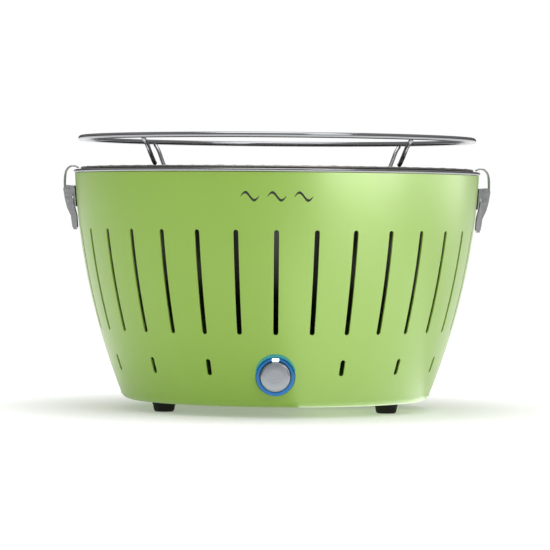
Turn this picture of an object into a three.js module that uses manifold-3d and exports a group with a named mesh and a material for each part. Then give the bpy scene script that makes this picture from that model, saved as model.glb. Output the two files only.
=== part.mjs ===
// Table-top kettle charcoal grill with a battery fan, as an assembly of named pieces.
// Millimetres, +Z up. The origin is on the grill's axis, on the surface that the feet stand on.
// The control knob faces -Y and the two toggle latches are at +X and -X.
import * as THREE from 'three';
import { mergeVertices } from 'three/addons/utils/BufferGeometryUtils.js';
import Module from 'manifold-3d';

const wasm = await Module();
wasm.setup();

// ---- driving dimensions ----
const TOTAL_HEIGHT = 234.25;
const RIM_RADIUS = 175;
const TOUCH_GAP = 0.3; // clearance between pieces that touch
const DEGREE = Math.PI / 180;

const BOWL_FLOOR = 8.56; // underside of the outer bowl
const BOWL_TOP = 201.8;
const BOWL_WALL = 1.5;
// One shallow arc gives the wall its bulge and a small one rounds it into the floor.
const BOWL_ARC = { radius: 593, centreR: -418.2, centreZ: 232.5 };
const BOWL_CORNER = { radius: 8, centreR: 125.4, wallAngle: 21 };
const BOWL_WALL_HEIGHTS = [58, 112, 162, BOWL_TOP];
const BOWL_SEGMENTS = 48;

const LONG_SLOT = { count: 32, width: 4.0, bottom: 69.0, top: 154.7 };
const SHORT_SLOT = { count: 16, width: 4.0, bottom: 34.8, top: 48.2 };
const BATTERY_OPENING = { width: 76, near: 44, far: 88 };

const TRIM = { inner: 164.5, ledgeTop: 203.1, top: 204.9, seat: 171, edge: 0.9 };
const FLANGE = { outer: 170, bottom: 203.4, top: 204.6 };
const INNER_BOWL_FLOOR = 76;
const INNER_BOWL_SHEET = 1.5;
const INNER_BOWL_INSIDE = [[162.2, FLANGE.top], [156.4, 165], [138, 120], [105, 88]];
const INNER_BOWL_OUTSIDE = [[105.9, 86.8], [139.3, 119.2], [157.9, 164.6], [163.6, FLANGE.bottom]];
const AIR_HOLE_RADIUS = 30;

const GRATE = {
  radius: 170,
  bottom: 204.9,
  top: 207.7,
  rimWidth: 3.2,
  barPitch: 34,
  barWidth: 2.2,
  outermostBar: 119,
};
const RING = { radius: 169, rod: 2.3, segments: 40, sides: 8 };
const LEG = { rod: 1.8, footR: 150, bendR: 156, topR: 168.2, angleFromFront: 41 };
const SHIELD = { radius: 55, bottom: 199.2, top: 204.6, wall: 1.2 };

const FOOT = {
  ring: 108.5,
  topRadius: 10.05,
  bottomRadius: 8.55,
  chamfer: 1.2,
  boreRadius: 3.2,
  boreTop: 5.5,
  shankHole: 1.8,
};
const FOOT_PLACES = [
  ['foot_front_right', -30],
  ['foot_front_left', 210],
  ['foot_rear', 90],
];
const FOOT_SCREW = {
  headRadius: 2.8,
  headBottom: 2.6,
  headTop: 5.1,
  socketDepth: 1.3,
  socketRadius: 1.2,
  shank: 1.4,
};

const FAN = { tubeOuter: 39, tubeInner: 37, bottom: 10.4, top: 74, floor: 2, windows: 6 };
const MOTOR = { radius: 13, height: 25, boss: 4 };
const IMPELLER = { hub: 8, bottom: 44, top: 56, tip: 34.5, blades: 7, pitch: 32, blade: 1.4, chord: 16 };
const MOTOR_SHAFT = { radius: 1.5, bottom: 38.3, top: 55 };
const FAN_WINDOW = { halfWidth: 9, sill: 3, top: 36 };
const BATTERY = { radius: 7.1, length: 42, count: 4, pitch: 16, axisHeight: 8.6, poleRadius: 2.6 };
const BATTERY_BOX = { wall: 3, height: 18, roofUnderside: 16.4 };
const BATTERY_COVER = { overlap: 4, thickness: 1.6, ribs: 4, ribPitch: 4.5, ribWidth: 2, firstRib: 18, ribInset: 8 };

const KNOB = { z: 34.6, radius: 12.2, back: -139.8, front: -147, capRadius: 8.4, capThickness: 0.8 };
const POINTER = { halfWidth: 1.1, depth: 5, length: 3.4 };
const SWITCH = { radius: 15.95, lightInner: 12.8, back: -118, front: -139.2, lightFront: -141, bore: 3.4 };
const KNOB_SHAFT = { radius: 3, back: -126, front: -139.5 };
const LED = { width: 5.7, height: 2.5, depth: 1.1, inset: 0.9 };
const BOARD = { width: 30, height: 24, thickness: 1.6, y: -115 };
const CHIP = { halfWidth: 3, halfHeight: 2, depth: 4, places: [[-9, 3], [4, -5], [8, 6]] };
const HARNESS_RADIUS = 1.5;
const HARNESS_ROUTE = [[43, 60, 18], [52, 30, 15], [50, -20, 14], [30, -70, 14], [10, -95, 22], [2, -108, 32]];

const BASKET = {
  radius: 62,
  bottom: 93.2,
  top: 150,
  wall: 1.5,
  slots: 12,
  slotWidth: 5,
  slotBottom: 100,
  slotTop: 138,
};
const DISH = { radius: 46, bottom: 77.9, top: 92.9, wall: 1.2, hole: 14, flare: 4 };
const LID = { radius: 63.6, bottom: 150.3, thickness: 1.4, lipDepth: 6 };
const LID_HANDLE = { radius: 9, height: 12, footRadius: 4, neckRadius: 3.4, neckTop: 4, headBottom: 7, headTop: 9 };

// The latch is seen from its side: x outwards from the grill's axis, z up.
const LATCH = {
  pivot: [180.1, 187.8],
  hookPivot: [178.8, 179.6],
  eye: 3.7,
  halfWidth: 8,
  plate: 1.2,
  earInner: 8.3,
  earOuter: 9.5,
  pinRadius: 1.5,
  pinHead: 2.3,
  hookHalfWidth: 5.5,
  hookThickness: 1.5,
  hookEye: 3.0,
  channelBottom: 169,
  bracketTop: 191,
  bracketBottom: 173,
  bracketHalfWidth: 15,
  rivetRadius: 2.4,
  rivetOffset: 12.3,
  rivetZ: 182,
  rivetTilt: Math.PI / 2 + 0.087,
  pivotPinReach: 10.8,
  hookPinReach: 9.2,
};
const EAR_BOTTOM = 180;
const LEVER_FINGER_TAB = [
  [180.5, 172], [177.2, 165], [175.9, 156], [174.6, 153.2], [172.4, 153.2], [171.6, 156], [172.3, 165], [175.1, 176],
];
const LEVER_HOLLOW = [[160, 155], [174.6, 155], [174.7, 156], [176, 165], [178.3, 170], [160, 170]];
const HOOK_ROUTE = [
  LATCH.hookPivot, [181.6, 183.6], [183.0, 188.5], [182.9, 197], [181.6, 203.4], [178.6, 207.4], [174.6, 208.2],
  [171.3, 206.6],
];

// ---- finishes ----
const finish = (color, roughness, metalness, extra = {}) =>
  new THREE.MeshStandardMaterial({ color, roughness, metalness, ...extra });
const GREEN_PAINT = finish(0x97b752, 0.35, 0.2);
const STAINLESS = finish(0xb9bcbe, 0.25, 1);
const SPRING_STEEL = finish(0x9c9fa2, 0.3, 1);
const RUBBER = finish(0x0b0a09, 0.8, 0);
const BLACK_PLASTIC = finish(0x17181a, 0.55, 0);
const BRUSHED_ALUMINIUM = finish(0xc8ccd0, 0.35, 1);
const BLUE_LIGHT = finish(0x3f8dff, 0.4, 0, { emissive: 0x2f7dff });
const WHITE_LIGHT = finish(0xf4f8ff, 0.4, 0, { emissive: 0xe8f0ff });
const CIRCUIT_BOARD = finish(0x1d5b35, 0.5, 0);
const BATTERY_WRAP = finish(0x6d7277, 0.4, 0.1);
const ALUMINISED_STEEL = finish(0x8f9294, 0.45, 1);

// ---- geometry helpers ----
const solidOf = (geometry) => {
  const welded = weld(geometry);
  return new wasm.Manifold(
    new wasm.Mesh({
      numProp: 3,
      vertProperties: new Float32Array(welded.attributes.position.array),
      triVerts: new Uint32Array(welded.index.array),
    }),
  );
};

const geometryOf = (solid) => {
  const mesh = solid.getMesh();
  const geometry = new THREE.BufferGeometry();
  geometry.setAttribute('position', new THREE.BufferAttribute(mesh.vertProperties, 3));
  geometry.setIndex(new THREE.BufferAttribute(mesh.triVerts, 1));
  return geometry;
};

// Merges shared vertices, drops flat triangles and turns the faces outwards.
function weld(source) {
  const bare = source.clone();
  for (const name of Object.keys(bare.attributes)) {
    if (name !== 'position') {
      bare.deleteAttribute(name);
    }
  }
  const geometry = mergeVertices(bare, 1e-4);
  const index = geometry.index.array;
  const points = geometry.attributes.position;
  const corner = (i) => new THREE.Vector3().fromBufferAttribute(points, i);
  const kept = [];
  let volume = 0;
  for (let i = 0; i < index.length; i += 3) {
    const [a, b, c] = [index[i], index[i + 1], index[i + 2]];
    if (a !== b && b !== c && c !== a) {
      kept.push(a, b, c);
      volume += corner(a).dot(corner(b).cross(corner(c)));
    }
  }
  if (volume < 0) {
    kept.reverse();
  }
  geometry.setIndex(kept);
  return geometry;
}

const cut = (geometry, tools) =>
  geometryOf(tools.reduce((body, tool) => body.subtract(solidOf(tool)), solidOf(geometry)));
const join = ([first, ...others]) =>
  geometryOf(others.reduce((body, piece) => body.add(solidOf(piece)), solidOf(first)));

// A solid of revolution about Z from [radius, z] points.
const turned = (profile, segments = 24) =>
  new THREE.LatheGeometry(profile.map(([r, z]) => new THREE.Vector2(r, z)), segments).rotateX(Math.PI / 2);
const closed = (profile) => [...profile, profile[0]];
const disc = (radius, bottom, top, segments = 24) =>
  turned([[0, bottom], [radius, bottom], [radius, top], [0, top]], segments);
const tube = (inner, outer, bottom, top, segments = 24) =>
  turned(closed([[inner, bottom], [outer, bottom], [outer, top], [inner, top]]), segments);

// The same as turned, but about the knob's axis, which runs along Y; profile points are [radius, y].
const turnedAlongY = (profile, segments = 24) =>
  new THREE.LatheGeometry(profile.map(([r, y]) => new THREE.Vector2(r, y)), segments);

const block = (x0, x1, y0, y1, z0, z1) =>
  new THREE.BoxGeometry(x1 - x0, y1 - y0, z1 - z0).translate((x0 + x1) / 2, (y0 + y1) / 2, (z0 + z1) / 2);

// An outline in the XZ plane, given as [x, z] points, with a thickness from y0 to y1.
function sidePlate(points, y0, y1) {
  const shape = new THREE.Shape(points.map(([x, z]) => new THREE.Vector2(x, z)));
  const geometry = new THREE.ExtrudeGeometry(shape, { depth: y1 - y0, bevelEnabled: false });
  return geometry.rotateX(Math.PI / 2).translate(0, y1, 0);
}

const arc = ([x, z], radius, from, to, steps) =>
  Array.from({ length: steps + 1 }, (_, i) => {
    const angle = (from + ((to - from) * i) / steps) * DEGREE;
    return [x + radius * Math.cos(angle), z + radius * Math.sin(angle)];
  });

const pinAlongY = ([x, z], profile, segments = 12) => turnedAlongY(profile, segments).translate(x, 0, z);

// A rod of round section along a smooth route through the points.
function rod(points, radius, steps, sides = 8) {
  const section = new THREE.Shape(
    Array.from({ length: sides }, (_, i) => {
      const angle = (i * 2 * Math.PI) / sides;
      return new THREE.Vector2(radius * Math.cos(angle), radius * Math.sin(angle));
    }),
  );
  const route = points.map((point) => new THREE.Vector3(...point));
  const path = new THREE.CatmullRomCurve3(route, false, 'catmullrom', 0.3);
  return new THREE.ExtrudeGeometry(section, { extrudePath: path, steps, bevelEnabled: false });
}

// A vertical slot with round ends, reaching outwards through the front of the bowl.
function slotCutter({ width, bottom, top }, turn, near = 120, far = 185) {
  const half = width / 2;
  const outline = [
    ...arc([0, top - half], half, 0, 180, 2),
    ...arc([0, bottom + half], half, 180, 360, 2),
  ];
  return sidePlate(outline, -far, -near).rotateZ(turn * DEGREE);
}

// ---- the model ----
const grill = new THREE.Group();
grill.name = 'kettle_charcoal_grill';

function add(parent, name, geometry, material) {
  const mesh = new THREE.Mesh(weld(geometry), material);
  mesh.name = name;
  parent.add(mesh);
  return mesh;
}

const bowlRadius = (z) => BOWL_ARC.centreR + Math.sqrt(BOWL_ARC.radius ** 2 - (z - BOWL_ARC.centreZ) ** 2);

// The painted outer bowl: a deep-drawn shell with a flat floor.
function outerBowl() {
  const cornerCentre = [BOWL_CORNER.centreR, BOWL_FLOOR + BOWL_CORNER.radius];
  const outside = [
    [0, BOWL_FLOOR],
    ...arc(cornerCentre, BOWL_CORNER.radius, -90, -BOWL_CORNER.wallAngle, 2),
    ...BOWL_WALL_HEIGHTS.map((z) => [bowlRadius(z), z]),
  ];
  const inside = [
    ...BOWL_WALL_HEIGHTS.toReversed().map((z) => [bowlRadius(z) - BOWL_WALL, z]),
    ...arc(cornerCentre, BOWL_CORNER.radius - BOWL_WALL, -BOWL_CORNER.wallAngle, -90, 2),
    [0, BOWL_FLOOR + BOWL_WALL],
  ];
  const longSlots = Array.from({ length: LONG_SLOT.count }, (_, i) =>
    slotCutter(LONG_SLOT, (i * 360) / LONG_SLOT.count),
  );
  // The knob takes the place of the front short slot.
  const shortSlots = Array.from({ length: SHORT_SLOT.count - 1 }, (_, i) =>
    slotCutter(SHORT_SLOT, ((i + 1) * 360) / SHORT_SLOT.count),
  );
  const holeRadius = SWITCH.radius + TOUCH_GAP;
  const knobHole = turnedAlongY([[0, -100], [holeRadius, -100], [holeRadius, -170], [0, -170]]);
  const halfOpening = BATTERY_OPENING.width / 2;
  const batteryOpening = block(-halfOpening, halfOpening, BATTERY_OPENING.near, BATTERY_OPENING.far, 0, 12);
  return cut(turned([...outside, ...inside], BOWL_SEGMENTS), [
    ...longSlots,
    ...shortSlots,
    knobHole.translate(0, 0, KNOB.z),
    batteryOpening,
  ]);
}

// The polished rim: a rounded band outside and a ledge that the inner bowl's flange rests on.
function rimTrim() {
  const bottom = BOWL_TOP + TOUCH_GAP;
  return turned(
    closed([
      [TRIM.inner, bottom],
      [RIM_RADIUS - TRIM.edge, bottom],
      [RIM_RADIUS, bottom + TRIM.edge],
      [RIM_RADIUS, TRIM.top - TRIM.edge],
      [RIM_RADIUS - TRIM.edge, TRIM.top],
      [TRIM.seat, TRIM.top],
      [TRIM.seat, TRIM.ledgeTop],
      [TRIM.inner, TRIM.ledgeTop],
    ]),
    BOWL_SEGMENTS,
  );
}

function feet() {
  const top = BOWL_FLOOR - TOUCH_GAP;
  for (const [name, angle] of FOOT_PLACES) {
    const x = FOOT.ring * Math.cos(angle * DEGREE);
    const y = FOOT.ring * Math.sin(angle * DEGREE);
    const pad = turned(
      closed([
        [FOOT.boreRadius, 0],
        [FOOT.bottomRadius - FOOT.chamfer, 0],
        [FOOT.bottomRadius, FOOT.chamfer],
        [FOOT.topRadius, top],
        [FOOT.shankHole, top],
        [FOOT.shankHole, FOOT.boreTop],
        [FOOT.boreRadius, FOOT.boreTop],
      ]),
      16,
    );
    add(grill, name, pad.translate(x, y, 0), RUBBER);
    const screw = turned(
      [
        [0, FOOT_SCREW.headBottom + FOOT_SCREW.socketDepth],
        [FOOT_SCREW.socketRadius, FOOT_SCREW.headBottom + FOOT_SCREW.socketDepth],
        [FOOT_SCREW.socketRadius, FOOT_SCREW.headBottom],
        [FOOT_SCREW.headRadius - 0.5, FOOT_SCREW.headBottom],
        [FOOT_SCREW.headRadius, FOOT_SCREW.headBottom + 0.6],
        [FOOT_SCREW.headRadius, FOOT_SCREW.headTop],
        [FOOT_SCREW.shank, FOOT_SCREW.headTop],
        [FOOT_SCREW.shank, top],
        [0, top],
      ],
      12,
    );
    add(grill, name.replace('foot', 'foot_screw'), screw.translate(x, y, 0), SPRING_STEEL);
  }
}

function batteryCompartment() {
  const half = BATTERY_OPENING.width / 2;
  const { near, far } = BATTERY_OPENING;
  const { wall } = BATTERY_BOX;
  const floor = BOWL_FLOOR + BOWL_WALL + TOUCH_GAP;
  const outer = block(-half - wall, half + wall, near - wall, far + wall, floor, floor + BATTERY_BOX.height);
  const hollow = block(-half, half, near, far, floor - 1, floor + BATTERY_BOX.roofUnderside);
  add(grill, 'battery_box', cut(outer, [hollow]), BLACK_PLASTIC);
  const firstX = -((BATTERY.count - 1) / 2) * BATTERY.pitch;
  const margin = (far - near - BATTERY.length) / 2;
  for (let i = 0; i < BATTERY.count; i += 1) {
    const y0 = near + margin;
    const y1 = far - margin;
    const cell = turnedAlongY([
      [0, y0], [BATTERY.radius - 0.6, y0], [BATTERY.radius, y0 + 0.6], [BATTERY.radius, y1 - 2],
      [BATTERY.poleRadius, y1 - 1.6], [BATTERY.poleRadius, y1], [0, y1],
    ], 16);
    cell.translate(firstX + i * BATTERY.pitch, 0, floor + BATTERY.axisHeight);
    add(grill, `battery_${i + 1}`, cell, BATTERY_WRAP);
  }
  // The cover lies under the floor and slides sideways; ribs on its underside give the fingers a hold.
  const coverTop = BOWL_FLOOR - TOUCH_GAP;
  const { overlap, thickness, ribPitch, ribWidth, firstRib, ribInset } = BATTERY_COVER;
  const plate = block(-half - overlap, half + overlap, near - overlap, far + overlap, coverTop - thickness, coverTop);
  const ribs = Array.from({ length: BATTERY_COVER.ribs }, (_, i) => {
    const x = half - firstRib + i * ribPitch;
    return block(x, x + ribWidth, near + ribInset, far - ribInset, coverTop - thickness - 0.8, coverTop - 1);
  });
  add(grill, 'battery_cover', join([plate, ...ribs]), BLACK_PLASTIC);
}

function fan() {
  const floorTop = FAN.bottom + FAN.floor;
  const housing = turned([
    [0, FAN.bottom], [FAN.tubeOuter, FAN.bottom], [FAN.tubeOuter, FAN.top], [FAN.tubeInner, FAN.top],
    [FAN.tubeInner, floorTop], [0, floorTop],
  ], 32);
  const windows = Array.from({ length: FAN.windows }, (_, i) =>
    block(
      -FAN_WINDOW.halfWidth, FAN_WINDOW.halfWidth, -FAN.tubeOuter - 5, -FAN.tubeInner + 8,
      floorTop + FAN_WINDOW.sill, FAN_WINDOW.top,
    ).rotateZ((i + 0.5) * (360 / FAN.windows) * DEGREE),
  );
  add(grill, 'fan_housing', cut(housing, windows), BLACK_PLASTIC);
  const motorBottom = floorTop + TOUCH_GAP;
  const motorTop = motorBottom + MOTOR.height;
  const motor = turned([
    [0, motorBottom], [MOTOR.radius - 1, motorBottom], [MOTOR.radius, motorBottom + 1],
    [MOTOR.radius, motorTop - 2], [MOTOR.radius - 2, motorTop - 0.3],
    [MOTOR.boss, motorTop - 0.3], [MOTOR.boss, motorTop], [0, motorTop],
  ]);
  add(grill, 'fan_motor', motor, ALUMINISED_STEEL);
  const shaft = disc(MOTOR_SHAFT.radius, MOTOR_SHAFT.bottom, MOTOR_SHAFT.top, 12);
  add(grill, 'motor_shaft', shaft, SPRING_STEEL);
  const bore = MOTOR_SHAFT.radius + TOUCH_GAP;
  const hub = turned(closed([
    [bore, IMPELLER.bottom], [IMPELLER.hub, IMPELLER.bottom], [IMPELLER.hub, IMPELLER.top - 2],
    [IMPELLER.hub - 2, IMPELLER.top], [bore, IMPELLER.top],
  ]));
  const middle = (IMPELLER.bottom + IMPELLER.top) / 2;
  const blades = Array.from({ length: IMPELLER.blades }, (_, i) =>
    block(
      IMPELLER.hub - 1, IMPELLER.tip - 1, -IMPELLER.chord / 2, IMPELLER.chord / 2,
      -IMPELLER.blade / 2, IMPELLER.blade / 2,
    )
      .rotateX(IMPELLER.pitch * DEGREE)
      .translate(0, 0, middle)
      .rotateZ(((i * 360) / IMPELLER.blades) * DEGREE),
  );
  add(grill, 'fan_impeller', join([hub, ...blades]), BLACK_PLASTIC);
}

function control() {
  const group = new THREE.Group();
  group.position.set(0, 0, KNOB.z);
  grill.add(group);
  const housing = turnedAlongY(closed([
    [SWITCH.bore, SWITCH.back], [SWITCH.radius, SWITCH.back],
    [SWITCH.radius, SWITCH.front], [SWITCH.bore, SWITCH.front],
  ]), 32);
  add(group, 'switch_housing', housing, BLACK_PLASTIC);
  const lightBack = SWITCH.front - TOUCH_GAP;
  const ring = turnedAlongY(closed([
    [SWITCH.lightInner, lightBack], [SWITCH.radius, lightBack],
    [SWITCH.radius, SWITCH.lightFront + 0.5], [SWITCH.radius - 0.5, SWITCH.lightFront],
    [SWITCH.lightInner, SWITCH.lightFront],
  ]), 32);
  add(group, 'light_ring', ring, BLUE_LIGHT);
  const shaft = turnedAlongY([
    [0, KNOB_SHAFT.back], [KNOB_SHAFT.radius, KNOB_SHAFT.back],
    [KNOB_SHAFT.radius, KNOB_SHAFT.front], [0, KNOB_SHAFT.front],
  ], 16);
  add(group, 'knob_shaft', shaft, SPRING_STEEL);
  const body = turnedAlongY([
    [0, KNOB.back], [KNOB.radius, KNOB.back], [KNOB.radius, KNOB.front + 1],
    [KNOB.radius - 0.8, KNOB.front], [0, KNOB.front],
  ], 32);
  const pointer = block(
    -POINTER.halfWidth, POINTER.halfWidth, KNOB.front - POINTER.depth, KNOB.front + 1.2,
    KNOB.radius - POINTER.length, KNOB.radius + 2,
  );
  add(group, 'control_knob', cut(body, [pointer]), BRUSHED_ALUMINIUM);
  const capBack = KNOB.front - TOUCH_GAP;
  const capFront = capBack - KNOB.capThickness;
  const cap = turnedAlongY([[0, capBack], [KNOB.capRadius, capBack], [KNOB.capRadius, capFront], [0, capFront]]);
  add(group, 'knob_cap', cap, BRUSHED_ALUMINIUM);
  const ledZ = SWITCH.radius - LED.height / 2 - LED.inset;
  const ledFront = SWITCH.lightFront - TOUCH_GAP;
  const led = block(
    -LED.width / 2, LED.width / 2, ledFront - LED.depth, ledFront,
    ledZ - LED.height / 2, ledZ + LED.height / 2,
  );
  add(group, 'indicator_led', led, WHITE_LIGHT);
  const board = block(
    -BOARD.width / 2, BOARD.width / 2, BOARD.y, BOARD.y + BOARD.thickness,
    -BOARD.height / 2, BOARD.height / 2,
  );
  const chips = CHIP.places.map(([x, z]) =>
    block(
      x - CHIP.halfWidth, x + CHIP.halfWidth, BOARD.y + 1, BOARD.y + CHIP.depth,
      z - CHIP.halfHeight, z + CHIP.halfHeight,
    ),
  );
  add(group, 'control_board', join([board, ...chips]), CIRCUIT_BOARD);
  add(grill, 'wire_harness', rod(HARNESS_ROUTE, HARNESS_RADIUS, 16, 6), BLACK_PLASTIC);
}

// The stainless inner bowl that holds the fire; air enters through the hole in its floor.
function innerBowl() {
  const floorTop = INNER_BOWL_FLOOR + INNER_BOWL_SHEET;
  const profile = [
    [FLANGE.outer, FLANGE.bottom],
    [FLANGE.outer, FLANGE.top],
    ...INNER_BOWL_INSIDE,
    [68, floorTop],
    [AIR_HOLE_RADIUS, floorTop],
    [AIR_HOLE_RADIUS, INNER_BOWL_FLOOR],
    [67.6, INNER_BOWL_FLOOR],
    ...INNER_BOWL_OUTSIDE,
  ];
  add(grill, 'inner_bowl', turned(closed(profile), 36), STAINLESS);
}

function fireBasket() {
  const dish = turned(closed([
    [DISH.hole, DISH.bottom], [DISH.radius - DISH.flare, DISH.bottom], [DISH.radius, DISH.top],
    [DISH.radius - DISH.wall, DISH.top], [DISH.radius - DISH.flare - DISH.wall, DISH.bottom + DISH.wall],
    [DISH.hole, DISH.bottom + DISH.wall],
  ]), 32);
  add(grill, 'ignition_dish', dish, STAINLESS);
  const inner = BASKET.radius - BASKET.wall;
  const basket = tube(inner, BASKET.radius, BASKET.bottom, BASKET.top, 36);
  const halfSlot = BASKET.slotWidth / 2;
  const slots = Array.from({ length: BASKET.slots }, (_, i) =>
    block(-halfSlot, halfSlot, -BASKET.radius - 5, -inner + 5, BASKET.slotBottom, BASKET.slotTop)
      .rotateZ(((i + 0.5) * 360 * DEGREE) / BASKET.slots),
  );
  add(grill, 'charcoal_basket', cut(basket, slots), STAINLESS);
  const floor = disc(inner - TOUCH_GAP, BASKET.bottom, BASKET.bottom + BASKET.wall, 36);
  add(grill, 'basket_floor', floor, STAINLESS);
  const lidTop = LID.bottom + LID.thickness;
  const lip = BASKET.radius + TOUCH_GAP + 0.2;
  const lid = turned([
    [0, LID.bottom], [lip, LID.bottom], [lip, LID.bottom - LID.lipDepth], [LID.radius, LID.bottom - LID.lipDepth],
    [LID.radius, lidTop], [0, lidTop],
  ], 36);
  add(grill, 'basket_lid', lid, STAINLESS);
  const foot = lidTop + TOUCH_GAP;
  const knob = turned([
    [0, foot], [LID_HANDLE.footRadius, foot], [LID_HANDLE.neckRadius, foot + LID_HANDLE.neckTop],
    [LID_HANDLE.radius, foot + LID_HANDLE.headBottom], [LID_HANDLE.radius, foot + LID_HANDLE.headTop],
    [LID_HANDLE.radius - 3, foot + LID_HANDLE.height], [0, foot + LID_HANDLE.height],
  ]);
  add(grill, 'lid_handle', knob, STAINLESS);
}

function cookingGrate() {
  const rimInner = GRATE.radius - GRATE.rimWidth;
  add(grill, 'grate_rim', tube(rimInner, GRATE.radius, GRATE.bottom, GRATE.top, BOWL_SEGMENTS), STAINLESS);
  const reach = rimInner - 1;
  const half = GRATE.barWidth / 2;
  const middle = (GRATE.bottom + GRATE.top) / 2;
  const bars = [];
  for (let offset = -GRATE.outermostBar; offset <= GRATE.outermostBar; offset += GRATE.barPitch) {
    const length = Math.sqrt(reach ** 2 - (Math.abs(offset) + half) ** 2);
    bars.push(block(-length, length, offset - half, offset + half, GRATE.bottom + TOUCH_GAP, middle + 0.1));
    bars.push(block(offset - half, offset + half, -length, length, middle - 0.1, GRATE.top - TOUCH_GAP));
  }
  add(grill, 'grate_mesh', join(bars), STAINLESS);
  const shoulder = SHIELD.radius * 0.7;
  const dome = [
    [0, SHIELD.bottom], [shoulder, SHIELD.bottom + 0.8],
    [SHIELD.radius, SHIELD.top - SHIELD.wall], [SHIELD.radius, SHIELD.top],
  ];
  const back = [[shoulder, SHIELD.bottom + 2], [0, SHIELD.bottom + SHIELD.wall]];
  add(grill, 'heat_shield', turned([...dome, ...back], 32), STAINLESS);
  const ringZ = TOTAL_HEIGHT - RING.rod;
  const ring = new THREE.TorusGeometry(RING.radius, RING.rod, RING.sides, RING.segments);
  add(grill, 'upper_ring', ring.translate(0, 0, ringZ), STAINLESS);
  const legBottom = GRATE.top + TOUCH_GAP + LEG.rod;
  const legTop = ringZ - RING.rod - TOUCH_GAP - 0.3;
  const turn = LEG.angleFromFront;
  const legAngles = [-90 + turn, 90 - turn, 90 + turn, 270 - turn];
  legAngles.forEach((angle, i) => {
    const points = [
      [LEG.footR, 0, legBottom], [LEG.bendR - 2, 0, legBottom], [LEG.bendR, 0, legBottom + 1.6],
      [(LEG.bendR + LEG.topR) / 2, 0, (legBottom + legTop) / 2], [LEG.topR, 0, legTop],
    ];
    add(grill, `ring_leg_${i + 1}`, rod(points, LEG.rod, 6, 6).rotateZ(angle * DEGREE), STAINLESS);
  });
}

// A strip of even thickness that follows a chain of [x, z] points.
function band(points, thickness) {
  const half = thickness / 2;
  const offset = (side) =>
    points.map(([x, z], i) => {
      const [ax, az] = points[Math.max(i - 1, 0)];
      const [bx, bz] = points[Math.min(i + 1, points.length - 1)];
      const length = Math.hypot(bx - ax, bz - az);
      return [x - (side * half * (bz - az)) / length, z + (side * half * (bx - ax)) / length];
    });
  return [...offset(1), ...offset(-1).reverse()];
}

// One toggle latch, drawn at +X: a bracket on the bowl, a lever on its ears and a hook on the lever.
function latch(side, turn) {
  const group = new THREE.Group();
  group.rotation.z = turn;
  grill.add(group);
  const [px, pz] = LATCH.pivot;
  const [qx, qz] = LATCH.hookPivot;
  const hole = (centre, radius = LATCH.pinRadius + TOUCH_GAP) =>
    pinAlongY(centre, [[0, -20], [radius, -20], [radius, 20], [0, 20]]);

  const wallFace = (z) => bowlRadius(z) + TOUCH_GAP + 0.1;
  const { bracketBottom, bracketTop } = LATCH;
  const plateOutline = [
    [wallFace(bracketBottom), bracketBottom], [wallFace(bracketBottom) + LATCH.plate, bracketBottom],
    [wallFace(bracketTop) + LATCH.plate, bracketTop], [wallFace(bracketTop), bracketTop],
  ];
  const earOutline = [
    [wallFace(EAR_BOTTOM) + 0.6, EAR_BOTTOM], [px + 2, pz - 3.4],
    ...arc(LATCH.pivot, LATCH.eye, -40, 95, 5), [wallFace(bracketTop) + 0.6, bracketTop],
  ];
  const bracket = join([
    sidePlate(plateOutline, -LATCH.bracketHalfWidth, LATCH.bracketHalfWidth),
    sidePlate(earOutline, LATCH.earInner, LATCH.earOuter),
    sidePlate(earOutline, -LATCH.earOuter, -LATCH.earInner),
  ]);
  add(group, `latch_bracket_${side}`, cut(bracket, [hole(LATCH.pivot)]), SPRING_STEEL);

  const leverOutline = [
    ...arc(LATCH.pivot, LATCH.eye, 180, 0, 6), [qx + LATCH.eye, qz], ...LEVER_FINGER_TAB,
  ];
  const inner = LATCH.halfWidth - LATCH.plate;
  const lever = cut(sidePlate(leverOutline, -LATCH.halfWidth, LATCH.halfWidth), [
    block(160, 195, -inner, inner, LATCH.channelBottom, 200),
    sidePlate(LEVER_HOLLOW, -inner, inner),
    hole(LATCH.pivot),
    hole(LATCH.hookPivot),
  ]);
  add(group, `latch_lever_${side}`, lever, SPRING_STEEL);

  const reach = LATCH.hookHalfWidth;
  const strip = sidePlate(band(HOOK_ROUTE, LATCH.hookThickness), -reach, reach);
  const eyeProfile = [[0, -reach], [LATCH.hookEye, -reach], [LATCH.hookEye, reach], [0, reach]];
  const hook = cut(join([strip, pinAlongY(LATCH.hookPivot, eyeProfile, 16)]), [hole(LATCH.hookPivot)]);
  add(group, `latch_hook_${side}`, hook, SPRING_STEEL);

  const headed = (shank, head) => [
    [0, -head], [LATCH.pinHead, -head], [LATCH.pinHead, -shank], [LATCH.pinRadius, -shank],
    [LATCH.pinRadius, shank], [LATCH.pinHead, shank], [LATCH.pinHead, head], [0, head],
  ];
  const pivotPin = headed(LATCH.earOuter + TOUCH_GAP, LATCH.pivotPinReach);
  add(group, `latch_pivot_pin_${side}`, pinAlongY(LATCH.pivot, pivotPin), SPRING_STEEL);
  const hookPin = headed(LATCH.halfWidth + TOUCH_GAP, LATCH.hookPinReach);
  add(group, `hook_pin_${side}`, pinAlongY(LATCH.hookPivot, hookPin), SPRING_STEEL);

  for (const end of [-1, 1]) {
    const face = wallFace(LATCH.rivetZ) + LATCH.plate + TOUCH_GAP;
    const head = turned([[0, 0], [LATCH.rivetRadius, 0], [LATCH.rivetRadius * 0.8, 1], [0, 1.4]], 12)
      .rotateY(LATCH.rivetTilt)
      .translate(face + 0.3, end * LATCH.rivetOffset, LATCH.rivetZ);
    add(group, `bracket_rivet_${side}_${end < 0 ? 1 : 2}`, head, SPRING_STEEL);
  }
}

add(grill, 'outer_bowl', outerBowl(), GREEN_PAINT);
add(grill, 'rim_trim', rimTrim(), STAINLESS);
feet();
batteryCompartment();
fan();
control();
innerBowl();
fireBasket();
cookingGrate();
latch('right', 0);
latch('left', Math.PI);

export default grill;
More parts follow.
